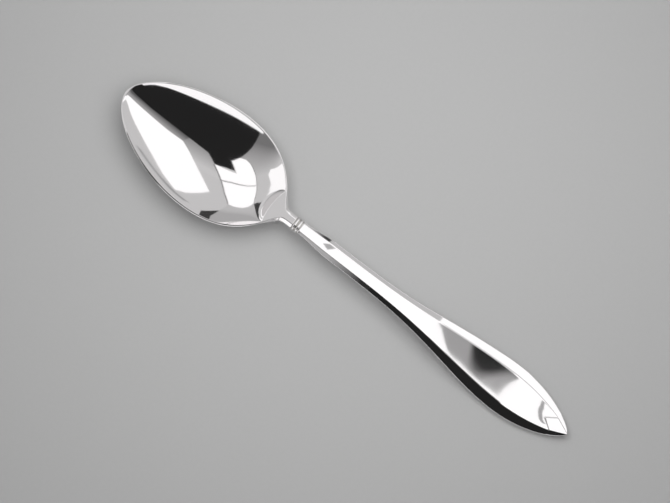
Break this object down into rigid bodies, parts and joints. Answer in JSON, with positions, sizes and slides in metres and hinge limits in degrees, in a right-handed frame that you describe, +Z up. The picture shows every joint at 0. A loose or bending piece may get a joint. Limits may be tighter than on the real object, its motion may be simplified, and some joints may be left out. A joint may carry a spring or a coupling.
{
  "type": "soup spoon",
  "caption": "Polished metal soup spoon: pointed egg-shaped bowl with a flat heel, beaded collar on a slim neck, and a hollow faceted handle widening to a leaf with a dished panel.",
  "frame": {"origin": "on the table, below the middle of the spoon's length", "axes": "+X along the spoon from the bowl tip to the handle tip, +Y across it, +Z up out of the bowl"},
  "size_m": [0.2076, 0.0424, 0.0118],
  "materials": {
    "bowl_silver": "mirror polished, with faint wear",
    "collar_silver": "polished beads with duller grooves",
    "handle_silver": "mirror polished, with faint wear",
    "handle_cement": "matt, cast"
  },
  "bodies": {
    "root": {"bowl": "bowl_silver", "collar": "collar_silver", "handle_front": "handle_silver", "handle_back": "handle_silver", "handle_filler": "handle_cement"}
  },
  "joints": []
}
